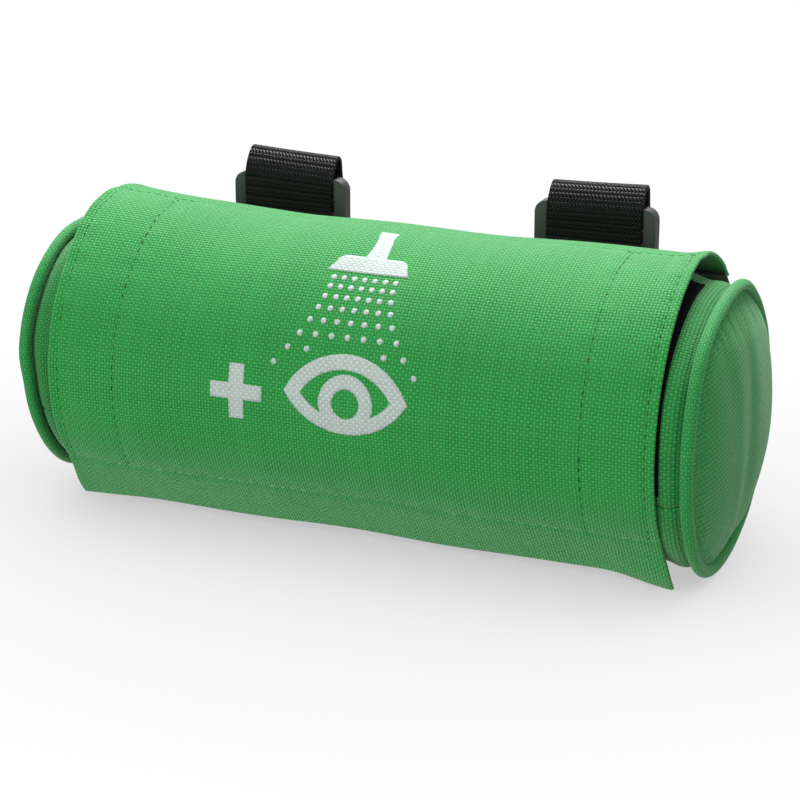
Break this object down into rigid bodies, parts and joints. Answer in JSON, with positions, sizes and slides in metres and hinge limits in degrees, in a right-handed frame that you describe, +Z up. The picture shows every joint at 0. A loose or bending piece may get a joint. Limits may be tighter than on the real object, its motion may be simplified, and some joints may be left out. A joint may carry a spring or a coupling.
{
  "type": "eyewash belt bag",
  "caption": "Soft round belt bag with a wrap-over flap that holds one bottle of eyewash, worn on a belt by webbing straps with side-release buckles.",
  "frame": {"origin": "middle of the gap that the belt passes through, behind the bag", "axes": "+X along the bag to the eye cup end, -Y to the front of the bag, +Z up"},
  "size_m": [0.2379, 0.1099, 0.1043],
  "materials": {
    "green_fabric": "matte",
    "green_piping": "matte",
    "black_tape": "matte",
    "lining": "matte",
    "hook_and_loop": "matte",
    "webbing": "matte",
    "buckle_plastic": "satin",
    "bottle_plastic": "satin",
    "saline": "gloss",
    "label": "satin",
    "seal_rubber": "matte",
    "cup_plastic": "satin",
    "cap_plastic": "satin"
  },
  "bodies": {
    "root": {"bag_panel": "green_fabric", "left_end_band": "green_fabric", "right_end_band": "green_fabric", "left_loop_strip": "hook_and_loop", "right_loop_strip": "hook_and_loop", "left_end_panel": "green_fabric", "right_end_panel": "green_fabric", "left_piping": "green_piping", "right_piping": "green_piping", "front_lip_binding": "black_tape", "back_lip_binding": "black_tape", "flap_seam_tape": "black_tape", "left_strap_anchor": "webbing", "right_strap_anchor": "webbing", "left_socket_tab": "webbing", "right_socket_tab": "webbing", "left_buckle_socket": "buckle_plastic", "right_buckle_socket": "buckle_plastic"},
    "flap": {"flap_panel": "green_fabric", "flap_lining": "lining", "left_hook_strip": "hook_and_loop", "right_hook_strip": "hook_and_loop"},
    "bottle": {"bottle": "bottle_plastic", "saline_fill": "saline", "bottle_label": "label", "sealing_ring": "seal_rubber", "screw_collar": "cup_plastic", "spray_plate": "cup_plastic", "eye_cup": "cup_plastic"},
    "cap": {"dust_cap": "cap_plastic"},
    "left_latch": {"left_buckle_latch": "buckle_plastic", "left_belt_strap": "webbing"},
    "right_latch": {"right_buckle_latch": "buckle_plastic", "right_belt_strap": "webbing"}
  },
  "joints": [
    {"name": "flap_hinge", "type": "hinge", "parent": "root", "child": "flap", "pos_m": [0, -0.03157, 0.0243], "axis": [-1, 0, 0], "range_deg": [0, 95]},
    {"name": "bottle_lift", "type": "slide", "parent": "root", "child": "bottle", "axis": [0, -0.5446, 0.8387], "range_m": [0, 0.07], "deforming": ["left_end_band", "right_end_band", "left_loop_strip", "right_loop_strip"]},
    {"name": "dust_cap_twist", "type": "hinge", "parent": "bottle", "child": "cap", "pos_m": [0.1, -0.0574, -0.0206], "axis": [1, 0, 0], "range_deg": [0, 90]},
    {"name": "left_latch_release", "type": "slide", "parent": "root", "child": "left_latch", "axis": [0, 0, 1], "range_m": [0, 0.016], "deforming": ["left_buckle_latch"]},
    {"name": "right_latch_release", "type": "slide", "parent": "root", "child": "right_latch", "axis": [0, 0, 1], "range_m": [0, 0.016], "deforming": ["right_buckle_latch"]}
  ],
  "couplings": [
    {"joint": "bottle_lift", "follows": "flap_hinge", "m_per_rad": 0.04221}
  ]
}
